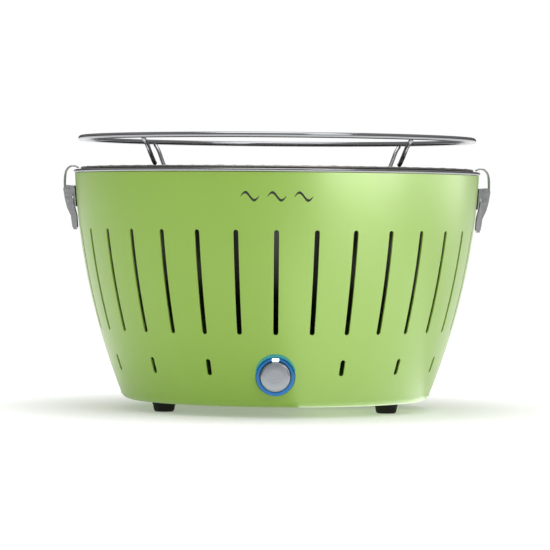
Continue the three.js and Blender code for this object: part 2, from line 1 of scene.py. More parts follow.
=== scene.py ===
"""The finished surfaces of a table-top kettle charcoal grill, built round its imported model."""

from __future__ import annotations

import logging
import math
from collections.abc import Callable, Iterable, Sequence
from dataclasses import dataclass, field
from enum import Enum

import bmesh
import bpy
from mathutils import Matrix, Vector


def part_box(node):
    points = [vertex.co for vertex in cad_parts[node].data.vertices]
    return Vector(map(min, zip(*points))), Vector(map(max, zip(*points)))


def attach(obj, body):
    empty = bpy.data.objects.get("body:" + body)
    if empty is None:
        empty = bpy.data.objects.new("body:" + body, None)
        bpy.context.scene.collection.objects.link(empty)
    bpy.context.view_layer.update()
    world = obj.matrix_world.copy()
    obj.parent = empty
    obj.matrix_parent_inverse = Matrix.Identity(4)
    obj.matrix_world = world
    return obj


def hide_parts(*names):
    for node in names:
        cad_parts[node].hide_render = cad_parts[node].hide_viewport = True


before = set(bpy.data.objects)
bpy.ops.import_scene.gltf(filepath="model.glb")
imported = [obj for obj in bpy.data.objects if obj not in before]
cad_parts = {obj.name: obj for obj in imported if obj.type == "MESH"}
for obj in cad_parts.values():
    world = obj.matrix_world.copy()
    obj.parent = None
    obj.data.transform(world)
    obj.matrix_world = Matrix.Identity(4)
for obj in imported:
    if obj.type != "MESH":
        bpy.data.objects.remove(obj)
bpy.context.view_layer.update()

log = logging.getLogger("grill")
MM = 0.001
Point2 = tuple[float, float]
Point3 = tuple[float, float, float]

# The colour sockets of a mix node share their names with its number sockets, so they go by place.
MIX_FACTOR, MIX_COLOUR_A, MIX_COLOUR_B, MIX_RESULT = 0, 6, 7, 2
NOISE_LOW, NOISE_HIGH = 0.3, 0.7  # the span that most of a noise texture's values lie in
EDGE_LOW, EDGE_HIGH = 0.52, 0.62  # pointiness where wear starts and where it is full
MIRROR_LIMIT = 0.03  # no real surface here is smoother
DRAWN_STRETCH = 0.04  # how much longer drawn marks are than they are wide
BUMP_STRENGTH = 0.6
WELD_DISTANCE = 1e-5

RIM_RADIUS = 175.0
RIM_TOP = 204.9
KNOB_AXIS = 34.6


# ---------------------------------------------------------------- colour and nodes


def linear(hex_colour: str) -> tuple[float, float, float, float]:
    """An sRGB hex colour as linear RGBA.

    Args:
        hex_colour: Six hex digits.

    Returns:
        Linear red, green, blue and an alpha of 1.
    """
    channels = [int(hex_colour[i : i + 2], 16) / 255 for i in (0, 2, 4)]
    r, g, b = (c / 12.92 if c <= 0.04045 else ((c + 0.055) / 1.055) ** 2.4 for c in channels)
    return (r, g, b, 1.0)


def add_node(
    tree: bpy.types.NodeTree, kind: str, links: dict | None = None, **settings: object
) -> bpy.types.Node:
    """Adds one node to a tree.

    Args:
        tree: The tree that the node joins.
        kind: The node's type name.
        links: Input name or index to a socket to link from, or a value to set.
        **settings: Properties of the node itself.

    Returns:
        The new node.
    """
    node = tree.nodes.new(kind)
    for name, value in settings.items():
        setattr(node, name, value)
    for key, value in (links or {}).items():
        if isinstance(value, bpy.types.NodeSocket):
            tree.links.new(value, node.inputs[key])
        else:
            node.inputs[key].default_value = value
    return node


class Grain(Enum):
    """How a surface was worked, which sets the direction of its fine marks."""

    FINE = "even"
    TURNED = "rings about the grill's axis"
    KNOB_TURNED = "rings about the knob's axis"
    ALONG_Z = "drawn along Z"


@dataclass(frozen=True)
class Finish:
    """A real surface: its colours, its shine, and the size of its marks in millimetres."""

    name: str
    dark: str
    light: str
    roughness: float
    metallic: float = 0.0
    ior: float = 1.5
    grain: Grain = Grain.FINE
    grain_mm: float = 0.6
    grain_depth_mm: float = 0.02
    roughness_spread: float = 0.06
    mottle_mm: float = 40.0
    specular: float = 0.5
    coat: float = 0.0
    coat_roughness: float = 0.05
    edge_wear: float = 0.0
    wear_colour: str = "d8dadc"
    glow: str | None = None
    glow_strength: float = 0.0

    def material(self) -> bpy.types.Material:
        """Builds the material, or returns it if it was built before."""
        if self.name in bpy.data.materials:
            return bpy.data.materials[self.name]
        material = bpy.data.materials.new(self.name)
        material.use_nodes = True
        tree = material.node_tree
        tree.nodes.clear()
        place = self._grain_place(tree)
        coordinates = add_node(tree, "ShaderNodeTexCoord").outputs["Object"]
        mottle = add_node(
            tree, "ShaderNodeTexNoise",
            {"Vector": coordinates, "Scale": 1 / (self.mottle_mm * MM), "Detail": 3.0}
        ).outputs["Fac"]
        marks = add_node(
            tree, "ShaderNodeTexNoise", {"Vector": place, "Scale": 1 / (self.grain_mm * MM), "Detail": 2.0}
        ).outputs["Fac"]
        tones = {MIX_FACTOR: mottle, MIX_COLOUR_A: linear(self.dark), MIX_COLOUR_B: linear(self.light)}
        colour_out = add_node(tree, "ShaderNodeMix", tones, data_type="RGBA").outputs[MIX_RESULT]
        if self.edge_wear > 0:
            colour_out = self._worn(tree, colour_out)
        rough = add_node(
            tree,
            "ShaderNodeMapRange",
            {
                "Value": marks,
                "From Min": NOISE_LOW,
                "From Max": NOISE_HIGH,
                "To Min": max(MIRROR_LIMIT, self.roughness - self.roughness_spread),
                "To Max": min(1.0, self.roughness + self.roughness_spread),
            },
        ).outputs["Result"]
        bump = add_node(
            tree, "ShaderNodeBump",
            {"Height": marks, "Strength": BUMP_STRENGTH, "Distance": self.grain_depth_mm * MM}
        ).outputs["Normal"]
        shader = add_node(
            tree,
            "ShaderNodeBsdfPrincipled",
            {
                "Base Color": colour_out, "Roughness": rough, "Normal": bump, "Metallic": self.metallic,
                "IOR": self.ior,
            },
        )
        shader.inputs["Specular IOR Level"].default_value = self.specular
        shader.inputs["Coat Weight"].default_value = self.coat
        shader.inputs["Coat Roughness"].default_value = self.coat_roughness
        if self.glow:
            shader.inputs["Emission Color"].default_value = linear(self.glow)
            shader.inputs["Emission Strength"].default_value = self.glow_strength
        add_node(tree, "ShaderNodeOutputMaterial", {"Surface": shader.outputs["BSDF"]})
        return material

    def _worn(self, tree: bpy.types.NodeTree, colour: bpy.types.NodeSocket) -> bpy.types.NodeSocket:
        """Lets a paler tone through on convex edges, where handling rubs the surface."""
        sharp = add_node(tree, "ShaderNodeNewGeometry").outputs["Pointiness"]
        edge = add_node(
            tree,
            "ShaderNodeMapRange",
            {
                "Value": sharp, "From Min": EDGE_LOW, "From Max": EDGE_HIGH, "To Min": 0.0,
                "To Max": self.edge_wear,
            },
        ).outputs["Result"]
        tones = {MIX_FACTOR: edge, MIX_COLOUR_A: colour, MIX_COLOUR_B: linear(self.wear_colour)}
        return add_node(tree, "ShaderNodeMix", tones, data_type="RGBA").outputs[MIX_RESULT]

    def _grain_place(self, tree: bpy.types.NodeTree) -> bpy.types.NodeSocket:
        """The coordinates of the fine marks, stretched along the way the surface was worked."""
        coordinates = add_node(tree, "ShaderNodeTexCoord").outputs["Object"]
        if self.grain is Grain.FINE:
            return coordinates
        if self.grain is Grain.ALONG_Z:
            return add_node(
                tree, "ShaderNodeMapping", {"Vector": coordinates, "Scale": (1.0, 1.0, DRAWN_STRETCH)}
            ).outputs["Vector"]
        if self.grain is Grain.KNOB_TURNED:
            centred = add_node(
                tree,
                "ShaderNodeMapping",
                {"Vector": coordinates, "Location": (0.0, 0.0, -KNOB_AXIS * MM), "Scale": (1.0, 0.0, 1.0)},
            ).outputs["Vector"]
            length = add_node(tree, "ShaderNodeVectorMath", {0: centred}, operation="LENGTH").outputs["Value"]
            return add_node(tree, "ShaderNodeCombineXYZ", {"X": length}).outputs["Vector"]
        flat = add_node(
            tree, "ShaderNodeMapping", {"Vector": coordinates, "Scale": (1.0, 1.0, 0.0)}
        ).outputs["Vector"]
        length = add_node(tree, "ShaderNodeVectorMath", {0: flat}, operation="LENGTH").outputs["Value"]
        height = add_node(tree, "ShaderNodeSeparateXYZ", {"Vector": coordinates}).outputs["Z"]
        return add_node(tree, "ShaderNodeCombineXYZ", {"X": length, "Z": height}).outputs["Vector"]


# Powder coat on drawn steel: an even, lightly pebbled gloss.
LIME_POWDER_COAT = Finish(
    "lime_powder_coat", "8fb83e", "95bd44", 0.4, grain_mm=0.9, grain_depth_mm=0.012, mottle_mm=70,
    coat=0.7, coat_roughness=0.3, specular=0.3, edge_wear=0.25, wear_colour="b4d67c",
)
# Deep-drawn 304 stainless, satin polished on a lathe, so its marks run round the axis.
SPUN_STAINLESS = Finish(
    "spun_stainless", "b7b8b9", "cfd0d1", 0.26, metallic=1.0, grain=Grain.TURNED, grain_mm=0.7,
    grain_depth_mm=0.01,
)
# Spun stainless that has been browned and dulled by the fire, and darkened further as painted shade, so that
# the outer bowl's slots look dark inside.
HEAT_TINT_AND_SHADE_STAINLESS = Finish(
    "heat_tint_and_painted_shade_stainless", "6b6765", "87827f", 0.45, metallic=1.0, grain=Grain.TURNED, grain_mm=0.5,
    grain_depth_mm=0.01, mottle_mm=45,
)
# The rim is buffed brighter than the bowl.
BUFFED_RIM = Finish(
    "buffed_stainless_rim", "a8a9ab", "bcbdbe", 0.16, metallic=1.0, grain=Grain.TURNED, grain_mm=0.5,
    grain_depth_mm=0.006,
)
# Electropolished stainless rod, close to a mirror.
ELECTROPOLISHED_ROD = Finish(
    "electropolished_rod", "9fa0a3", "b0b1b4", 0.1, metallic=1.0, grain_mm=2.5, grain_depth_mm=0.01,
    roughness_spread=0.03,
)
# Stainless wire crimped between rollers and woven, dulled by heat.
CRIMPED_WIRE = Finish(
    "crimped_stainless_wire", "8d8a85", "b3b1ad", 0.3, metallic=1.0, grain_mm=0.8, grain_depth_mm=0.02,
    mottle_mm=25,
)
# Pressed spring steel with a bright nickel finish.
NICKEL_SPRING_STEEL = Finish(
    "nickel_spring_steel", "a6a7a8", "c2c3c4", 0.22, metallic=1.0, grain=Grain.ALONG_Z, grain_mm=0.35,
    grain_depth_mm=0.01, edge_wear=0.4,
)
# Moulded rubber: matt, with a fine pebble.
MOULDED_RUBBER = Finish(
    "moulded_rubber", "0c0b0a", "1b1a18", 0.78, grain_mm=0.5, grain_depth_mm=0.05, mottle_mm=12,
    edge_wear=0.2,
    wear_colour="3a3936",
)
# ABS moulded in a spark-eroded tool.
MOULDED_ABS = Finish(
    "moulded_abs", "131416", "1f2123", 0.5, grain_mm=0.35, grain_depth_mm=0.03, mottle_mm=30, edge_wear=0.15,
    wear_colour="44474a",
)
# Turned aluminium with fine rings from the tool.
TURNED_ALUMINIUM = Finish(
    "turned_aluminium", "a3a7ae", "bcc0c6", 0.3, metallic=1.0, grain=Grain.KNOB_TURNED, grain_mm=0.45,
    grain_depth_mm=0.02,
)
# Moulded translucent acrylic over blue lamps.
LIT_BLUE_ACRYLIC = Finish(
    "lit_blue_acrylic", "17569c", "2f7cb8", 0.2, grain_mm=3, grain_depth_mm=0.01, glow="1a78c8",
    glow_strength=0.28,
)
# A painted glow: a teal, faintly glowing sheet laid on the paint above the knob's hole, standing in for the
# ring's light falling there; it is no lamp.
PAINTED_RING_GLOW = Finish(
    "painted_blue_glow", "2f8f8a", "3fae9c", 0.35, grain_mm=0.9, grain_depth_mm=0.012, glow="1a86c0",
    glow_strength=0.12,
)
# Moulded acrylic lens over a white lamp.
LIT_WHITE_ACRYLIC = Finish(
    "lit_white_acrylic", "f2f6ff", "ffffff", 0.2, grain_mm=2, grain_depth_mm=0.01, glow="d9f2ff",
    glow_strength=2.5,
)
# PVC shrink sleeve on the cells.
SHRINK_SLEEVE = Finish("shrink_sleeve", "59606a", "6b727c", 0.35, grain_mm=1.5, mottle_mm=10)
# Solder mask over glass-fibre board.
SOLDER_MASK = Finish("solder_mask", "12482a", "1f6b3c", 0.4, grain_mm=1.2, mottle_mm=4)
# Zinc plate on the motor's drawn can.
ZINC_PLATE = Finish("zinc_plate", "85898c", "a0a4a6", 0.38, metallic=1.0, grain=Grain.TURNED, mottle_mm=8)
# Ink pressed through a screen, in one flat layer.
PRINTED_INK = Finish("printed_ink", "22261c", "2b3022", 0.5, grain_mm=0.8, grain_depth_mm=0.004, mottle_mm=9)


# ---------------------------------------------------------------- mesh helpers


def new_piece(name: str, mesh: bpy.types.Mesh) -> bpy.types.Object:
    """An object for a mesh that is already in its place.

    Args:
        name: The object's name.
        mesh: Its mesh.

    Returns:
        The object, linked into the scene.
    """
    piece = bpy.data.objects.new(name, mesh)
    bpy.context.scene.collection.objects.link(piece)
    return piece


def mesh_from(
    name: str, points: Sequence[Point3], faces: Sequence[Sequence[int]], merge: float = 1e-6,
    outward: bool = True
) -> bpy.types.Mesh:
    """A smooth mesh with its doubles merged and its faces turned outwards.

    Args:
        name: The mesh's name.
        points: Vertex places in metres.
        faces: Vertex indices of each face.
        merge: Distance under which vertices are one.
        outward: Whether to recalculate the normals.

    Returns:
        The mesh.
    """
    mesh = bpy.data.meshes.new(name)
    mesh.from_pydata([tuple(p) for p in points], [], [tuple(f) for f in faces])
    work = bmesh.new()
    work.from_mesh(mesh)
    bmesh.ops.remove_doubles(work, verts=work.verts, dist=merge)
    bmesh.ops.dissolve_degenerate(work, edges=work.edges, dist=1e-8)
    if outward:
        bmesh.ops.recalc_face_normals(work, faces=work.faces)
    for face in work.faces:
        face.smooth = True
    work.to_mesh(mesh)
    work.free()
    return mesh


def soften(piece: bpy.types.Object, width: float, segments: int = 2, angle: float = 35.0) -> None:
    """Rounds the sharp edges of a piece.

    Args:
        piece: The piece.
        width: Width of the rounding, in metres.
        segments: Steps across it.
        angle: Smallest angle between faces that is rounded, in degrees.
    """
    bevel = piece.modifiers.new("soft_edges", "BEVEL")
    bevel.width = width
    bevel.segments = segments
    bevel.limit_method = "ANGLE"
    bevel.angle_limit = math.radians(angle)
    bevel.harden_normals = True


def finish_piece(piece: bpy.types.Object, finish: Finish, body: str, slot: str, *nodes: str) -> None:
    """Gives a piece its material and its body, and hides the CAD nodes that it stands for.

    Args:
        piece: The piece.
        finish: Its surface.
        body: The body that it rides on.
        slot: Its material slot in the record; not used.
        *nodes: The CAD nodes that it replaces.
    """
    piece.data.materials.clear()
    piece.data.materials.append(finish.material())
    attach(piece, body)
    if nodes:
        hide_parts(*nodes)
    log.info("%s: %d faces on %s", piece.name, len(piece.data.polygons), body)


def dress_node(node: str, finish: Finish, edge_mm: float = 0.25) -> None:
    """Keeps a CAD node's shape and gives it a real finish and softened edges.

    Args:
        node: The node's name.
        finish: Its surface.
        edge_mm: Width of the rounded edges, or 0 to leave them sharp.
    """
    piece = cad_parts[node]
    piece.data.materials.clear()
    piece.data.materials.append(finish.material())
    weld = piece.modifiers.new("weld", "WELD")
    weld.merge_threshold = WELD_DISTANCE
    if edge_mm > 0:
        soften(piece, edge_mm * MM, 2)


def corner_arc(
    before: Vector, here: Vector, after: Vector, radius: float, share: float, steps: int
) -> list[Vector]:
    """A smooth bend that replaces one corner.

    Args:
        before: The point before the corner.
        here: The corner.
        after: The point after it.
        radius: Farthest that the bend may reach along each side.
        share: Largest part of a side that the bend may take.
        steps: Steps along the bend.

    Returns:
        The bend's points.
    """
    reach = min(radius, (before - here).length * share, (after - here).length * share)
    start = here + (before - here).normalized() * reach
    end = here + (after - here).normalized() * reach
    turns = (i / steps for i in range(steps + 1))
    return [start * (1 - t) ** 2 + here * (2 * t * (1 - t)) + end * t**2 for t in turns]


def tube_faces(base: int, runs: int, sides: int, capped: bool = True) -> list[tuple[int, ...]]:
    """The faces that join a chain of sections into a tube.

    Args:
        base: Index of the first section's first point.
        runs: How many runs there are between sections.
        sides: Points in each section.
        capped: Whether the ends are closed with flat faces.

    Returns:
        Vertex indices of each face.
    """
    faces: list[tuple[int, ...]] = []
    for i in range(runs):
        near, far = base + i * sides, base + (i + 1) * sides
        for k in range(sides):
            n = (k + 1) % sides
            faces.append((near + k, near + n, far + n, far + k))
    if capped:
        last = base + runs * sides
        faces.append(tuple(base + k for k in range(sides)))
        faces.append(tuple(last + k for k in reversed(range(sides))))
    return faces


def rounded(points: Sequence[Point2], radius: float, steps: int = 4) -> list[Point2]:
    """Rounds each inner corner of an open outline.

    Args:
        points: Corners as (radius, height) pairs.
        radius: Largest corner radius.
        steps: Points in each corner.

    Returns:
        The outline with its corners as arcs.
    """
    result = [points[0]]
    for before, here, after in zip(points, points[1:], points[2:]):
        bend = corner_arc(Vector(before), Vector(here), Vector(after), radius, 0.45, steps)
        result += [(p.x, p.y) for p in bend]
    result.append(points[-1])
    return result


def revolve(
    name: str,
    outline: Sequence[Point2],
    segments: int = 96,
    closed: bool = False,
    about: str = "z",
    height: float = 0.0,
) -> bpy.types.Mesh:
    """Turns an outline in millimetres about an axis.

    Args:
        name: The mesh's name.
        outline: (radius, height) pairs.
        segments: Steps round the axis.
        closed: Whether the outline joins its own start.
        about: "z", or "y" for the knob's axis.
        height: Height of the knob's axis in millimetres.

    Returns:
        The mesh, in metres.
    """
    count = len(outline)
    points: list[Point3] = []
    for i in range(segments):
        turn = 2 * math.pi * i / segments
        for r, along in outline:
            across = (r * math.cos(turn) * MM, r * math.sin(turn) * MM)
            if about == "z":
                points.append((across[0], across[1], along * MM))
            else:
                points.append((across[0], along * MM, across[1] + height * MM))
    faces = []
    for i in range(segments):
        j = (i + 1) % segments
        for k in range(count if closed else count - 1):
            n = (k + 1) % count
            faces.append((i * count + k, j * count + k, j * count + n, i * count + n))
    return mesh_from(name, points, faces)


def sweep(name: str, route: Sequence[Vector], radius: float, sides: int = 14) -> bpy.types.Mesh:
    """A round rod along a route, with domed ends.

    Args:
        name: The mesh's name.
        route: Points in metres.
        radius: Rod radius in metres.
        sides: Sides of its section.

    Returns:
        The mesh.
    """
    tip, shoulder, shoulder_width = radius * 0.6, radius * 0.4, radius * 0.7
    last = len(route) - 1
    directions = [(route[min(i + 1, last)] - route[max(i - 1, 0)]).normalized() for i in range(len(route))]
    first, final = directions[0], directions[-1]
    stations = [(route[0] - first * tip, first, 0.0), (route[0] - first * shoulder, first, shoulder_width)]
    stations += [(p, d, radius) for p, d in zip(route, directions)]
    stations += [(route[-1] + final * shoulder, final, shoulder_width), (route[-1] + final * tip, final, 0.0)]
    side = directions[0].orthogonal().normalized()
    points: list[Point3] = []
    for centre, direction, r in stations:
        side = (side - direction * side.dot(direction)).normalized()
        up = direction.cross(side)
        for k in range(sides):
            a = 2 * math.pi * k / sides
            points.append(tuple(centre + (side * math.cos(a) + up * math.sin(a)) * r))
    return mesh_from(name, points, tube_faces(0, len(stations) - 1, sides, capped=False))


def smooth_route(corners: Sequence[Point3], radius: float, steps: int = 8) -> list[Vector]:
    """A route through corners, with each corner bent.

    Args:
        corners: The corners, in millimetres.
        radius: Farthest that a bend may reach, in millimetres.
        steps: Steps along each bend.

    Returns:
        Points in metres.
    """
    route = [Vector(corners[0]) * MM]
    for before, here, after in zip(corners, corners[1:], corners[2:]):
        route += [
            p * MM for p in corner_arc(Vector(before), Vector(here), Vector(after), radius, 0.48, steps)
        ]
    route.append(Vector(corners[-1]) * MM)
    return route


# ---------------------------------------------------------------- geometry nodes


class NodeShape:
    """A geometry node tree with named inputs, turned into a plain mesh."""

    def __init__(self, name: str, sizes: dict[str, float]) -> None:
        """Opens a tree whose inputs have these names and values."""
        self.name = name
        self.sizes = sizes
        self.tree = bpy.data.node_groups.new(name, "GeometryNodeTree")
        self.tree.interface.new_socket("Geometry", in_out="INPUT", socket_type="NodeSocketGeometry")
        self.identifiers = {
            key: self.tree.interface.new_socket(key, in_out="INPUT", socket_type="NodeSocketFloat").identifier
            for key in sizes
        }
        self.tree.interface.new_socket("Geometry", in_out="OUTPUT", socket_type="NodeSocketGeometry")
        self.given = self.tree.nodes.new("NodeGroupInput").outputs

    def add(self, kind: str, links: dict | None = None, **settings: object) -> bpy.types.Node:
        """Adds a node to this tree."""
        return add_node(self.tree, kind, links, **settings)

    def number(self, operation: str, a: object, b: object = 0.0) -> bpy.types.NodeSocket:
        """The result of a sum on two numbers."""
        return self.add("ShaderNodeMath", {0: a, 1: b}, operation=operation).outputs[0]

    def bake(self, geometry: bpy.types.NodeSocket, finish: Finish) -> bpy.types.Mesh:
        """Ends the tree and returns its result as a mesh.

        Args:
            geometry: The last geometry socket.
            finish: The material that the tree sets.

        Returns:
            A plain mesh, in its place.
        """
        real = self.add("GeometryNodeRealizeInstances", {0: geometry}).outputs[0]
        shaded = self.add("GeometryNodeSetShadeSmooth", {0: real}).outputs[0]
        dressed = self.add(
            "GeometryNodeSetMaterial", {"Geometry": shaded, "Material": finish.material()}
        ).outputs[0]
        self.add("NodeGroupOutput", {0: dressed})
        holder = new_piece(self.name + "_source", bpy.data.meshes.new(self.name))
        modifier = holder.modifiers.new("shape", "NODES")
        modifier.node_group = self.tree
        for key, value in self.sizes.items():
            modifier[self.identifiers[key]] = value
        bpy.context.view_layer.update()
        evaluated = holder.evaluated_get(bpy.context.evaluated_depsgraph_get())
        mesh = bpy.data.meshes.new_from_object(evaluated)
        holder.modifiers.remove(modifier)
        bpy.data.objects.remove(holder)
        return mesh


def rod_ring(name: str, radius_mm: float, rod_mm: float, height_mm: float, finish: Finish) -> bpy.types.Mesh:
    """A round ring of round rod.

    Args:
        name: The tree's name.
        radius_mm: Radius to the rod's centre.
        rod_mm: The rod's radius.
        height_mm: Height of the rod's centre.
        finish: Its material.

    Returns:
        The ring's mesh.
    """
    shape = NodeShape(
        name, {"Ring Radius": radius_mm * MM, "Rod Radius": rod_mm * MM, "Height": height_mm * MM}
    )
    path = shape.add(
        "GeometryNodeCurvePrimitiveCircle", {"Resolution": 192, "Radius": shape.given["Ring Radius"]}
    )
    section = shape.add(
        "GeometryNodeCurvePrimitiveCircle", {"Resolution": 18, "Radius": shape.given["Rod Radius"]}
    )
    rod = shape.add(
        "GeometryNodeCurveToMesh", {"Curve": path.outputs[0], "Profile Curve": section.outputs[0]}
    )
    lift = shape.add("ShaderNodeCombineXYZ", {"Z": shape.given["Height"]}).outputs[0]
    placed = shape.add("GeometryNodeTransform", {"Geometry": rod.outputs[0], "Translation": lift})
    return shape.bake(placed.outputs[0], finish)


def woven_wires(
    radius_mm: float, height_mm: float, pitch_mm: float, wire_mm: float, finish: Finish
) -> bpy.types.Mesh:
    """Crimped wires woven over and under each other inside a circle.

    Args:
        radius_mm: Radius that the wires reach.
        height_mm: Height of the weave's middle.
        pitch_mm: Distance between wires.
        wire_mm: Wire radius.
        finish: Their material.

    Returns:
        The weave's mesh.
    """
    shape = NodeShape(
        "woven_wires",
        {
            "Radius": radius_mm * MM, "Height": height_mm * MM, "Pitch": pitch_mm * MM,
            "Wire Radius": wire_mm * MM,
        },
    )
    given = shape.given
    half = math.floor(radius_mm / pitch_mm)
    reach = (half + 1) * pitch_mm * MM
    section = shape.add("GeometryNodeCurvePrimitiveCircle", {"Resolution": 6, "Radius": given["Wire Radius"]})
    families = []
    for along, across, sign in (((reach, 0, 0), (0, 1, 0), 1.0), ((0, reach, 0), (1, 0, 0), -1.0)):
        start = tuple(-c for c in along)
        line = shape.add("GeometryNodeCurvePrimitiveLine", {"Start": start, "End": along})
        fine = shape.add(
            "GeometryNodeResampleCurve", {"Curve": line.outputs[0], "Count": (half + 1) * 12 + 1}
        )
        first = tuple(-c * half * pitch_mm * MM for c in across)
        step = tuple(c * pitch_mm * MM for c in across)
        row = shape.add(
            "GeometryNodeMeshLine", {"Count": 2 * half + 1, "Start Location": first, "Offset": step}
        )
        copies = shape.add(
            "GeometryNodeInstanceOnPoints", {"Points": row.outputs[0], "Instance": fine.outputs[0]}
        )
        wires = shape.add("GeometryNodeRealizeInstances", {0: copies.outputs[0]}).outputs[0]
        place = shape.add("GeometryNodeInputPosition").outputs[0]
        parts = shape.add("ShaderNodeSeparateXYZ", {0: place}).outputs
        waves = [
            shape.number(
                "COSINE",
                shape.number("MULTIPLY", shape.number("DIVIDE", parts[axis], given["Pitch"]), math.pi)
            )
            for axis in (0, 1)
        ]
        wave = shape.number("MULTIPLY", waves[0], waves[1])
        swing = shape.number("MULTIPLY", wave, shape.number("MULTIPLY", given["Wire Radius"], sign))
        offset = shape.add(
            "ShaderNodeCombineXYZ", {"Z": shape.number("ADD", swing, given["Height"])}
        ).outputs[0]
        bent = shape.add("GeometryNodeSetPosition", {"Geometry": wires, "Offset": offset}).outputs[0]
        flat = shape.add("ShaderNodeVectorMath", {0: place, 1: (1, 1, 0)}, operation="MULTIPLY").outputs[0]
        distance = shape.add("ShaderNodeVectorMath", {0: flat}, operation="LENGTH").outputs["Value"]
        outside = shape.number("GREATER_THAN", distance, given["Radius"])
        kept = shape.add(
            "GeometryNodeDeleteGeometry", {"Geometry": bent, "Selection": outside}, domain="POINT"
        )
        families.append(
            shape.add(
                "GeometryNodeCurveToMesh",
                {"Curve": kept.outputs[0], "Profile Curve": section.outputs[0], "Fill Caps": True},
            ).outputs[0]
        )
    joined = shape.add("GeometryNodeJoinGeometry")
    for family in families:
        shape.tree.links.new(family, joined.inputs[0])
    return shape.bake(joined.outputs[0], finish)


def domed_heads(
    name: str, places: Sequence[Point3], outward: Point3, radius_mm: float, finish: Finish
) -> bpy.types.Mesh:
    """Domed rivet heads at some places, all facing one way.

    Args:
        name: The tree's name.
        places: The middle of each head's foot, in metres.
        outward: The way that the heads face.
        radius_mm: A head's radius.
        finish: Their material.

    Returns:
        The heads' mesh.
    """
    shape = NodeShape(name, {"Head Radius": radius_mm * MM, "Dome": 0.55})
    turn = Vector(outward).to_track_quat("Z", "Y").to_euler()
    heads = []
    for place in places:
        size = shape.given["Head Radius"]
        ball = shape.add("GeometryNodeMeshUVSphere", {"Segments": 24, "Rings": 14, "Radius": size})
        squash = shape.add("ShaderNodeCombineXYZ", {"X": 1.0, "Y": 1.0, "Z": shape.given["Dome"]}).outputs[0]
        head = shape.add(
            "GeometryNodeTransform",
            {"Geometry": ball.outputs[0], "Translation": place, "Rotation": tuple(turn), "Scale": squash},
        )
        heads.append(head.outputs[0])
    joined = shape.add("GeometryNodeJoinGeometry")
    for head in heads:
        shape.tree.links.new(head, joined.inputs[0])
    return shape.bake(joined.outputs[0], finish)


# ---------------------------------------------------------------- pierced sheets


@dataclass
class Opening:
    """A hole in a wrapped panel: half its width, its lowest and its highest point, in millimetres."""

    ROUND_LIMIT = 0.01  # a hole whose straight sides are shorter than this is round

    half_width: float
    bottom: float
    top: float

    def outline(self, across: int, up: int) -> list[Point2]:
        """Points round the hole, starting at its lower right and going round by its right side.

        Args:
            across: Steps in each rounded end.
            up: Steps in each side.

        Returns:
            (sideways, height) pairs.
        """
        w = self.half_width
        low, high = self.bottom + w, self.top - w
        if high - low < self.ROUND_LIMIT:
            middle = (low + high) / 2
            angles = [-45 + 90 * i / up for i in range(up)] + [45 + 90 * i / across for i in range(across)]
            angles += [135 + 90 * i / up for i in range(up)] + [225 + 90 * i / across for i in range(across)]
            return [(w * math.cos(math.radians(a)), middle + w * math.sin(math.radians(a))) for a in angles]
        points = [(w, low + (high - low) * i / up) for i in range(up)]
        points += [
            (w * math.cos(math.pi * i / across), high + w * math.sin(math.pi * i / across))
            for i in range(across)
        ]
        points += [(-w, high - (high - low) * i / up) for i in range(up)]
        points += [
            (w * math.cos(math.pi * (1 + i / across)), low + w * math.sin(math.pi * (1 + i / across)))
            for i in range(across)
        ]
        return points


